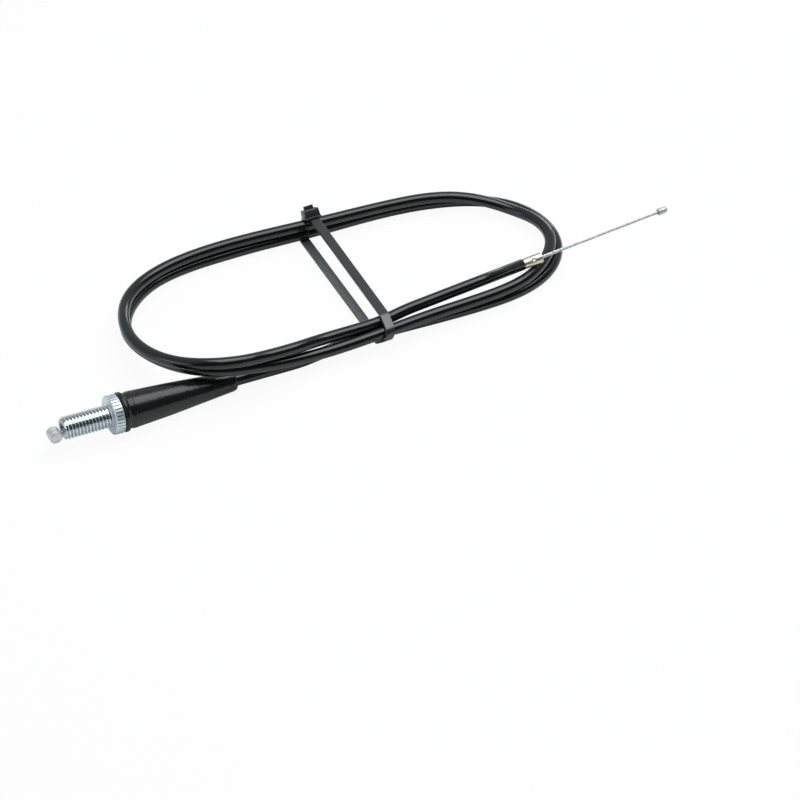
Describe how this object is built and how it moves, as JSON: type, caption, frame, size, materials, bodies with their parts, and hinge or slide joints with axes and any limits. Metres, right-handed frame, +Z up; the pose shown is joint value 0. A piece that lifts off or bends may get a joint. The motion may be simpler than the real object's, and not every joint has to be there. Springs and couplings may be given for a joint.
{
  "type": "throttle cable",
  "caption": "Coiled throttle cable: knurled screw fitting with rubber boot and crosswise nipple at one end, crimped ferrule, bare wire and small barrel at the other, held by a cable tie.",
  "frame": {"origin": "middle of the coiled cable's footprint, on the surface that it lies on", "axes": "+X from the screw fitting towards the carburettor end, +Z up from the surface, +Y away from the side with the fitting"},
  "size_m": [0.3054, 0.0958, 0.0233],
  "materials": {
    "bright_zinc": "bright bluish zinc plating",
    "plated_steel": "plated spring steel",
    "wire_steel": "stranded galvanised wire",
    "warm_nickel": "dull nickel plating",
    "cast_zinc": "die-cast zinc, dull",
    "black_rubber": "satin moulded rubber",
    "black_vinyl": "semi-gloss extruded vinyl",
    "white_liner": "waxy plastic tube",
    "charcoal_nylon": "matt moulded nylon"
  },
  "bodies": {
    "conduit": {"outer_sheath": "black_vinyl", "conduit_spiral": "plated_steel", "conduit_liner": "white_liner", "inner_wire": "wire_steel", "conduit_end_cap": "plated_steel", "carb_ferrule": "warm_nickel", "coil_tie": "charcoal_nylon"},
    "fitting": {"screw_fitting": "bright_zinc"},
    "boot": {"rubber_boot": "black_rubber"},
    "throttle_end": {"throttle_wire": "wire_steel", "throttle_nipple": "cast_zinc"},
    "carb_end": {"carb_wire": "wire_steel", "carb_barrel": "cast_zinc"}
  },
  "joints": [
    {"name": "fitting_swivel", "type": "hinge", "parent": "conduit", "child": "fitting", "pos_m": [-0.0655, -0.03856, 0.00472], "axis": [-0.9977, 0, 0.068], "continuous": true},
    {"name": "boot_slide", "type": "slide", "parent": "conduit", "child": "boot", "axis": [0.9977, 0, -0.068], "range_m": [0, 0.01]},
    {"name": "throttle_pull", "type": "slide", "parent": "conduit", "child": "throttle_end", "axis": [-0.9977, 0, 0.068], "range_m": [0, 0.055]},
    {"name": "carb_draw", "type": "slide", "parent": "conduit", "child": "carb_end", "axis": [-0.9987, -0.0067, -0.0498], "range_m": [0, 0.055]}
  ],
  "couplings": [
    {"joint": "carb_draw", "follows": "throttle_pull", "ratio": 1}
  ]
}
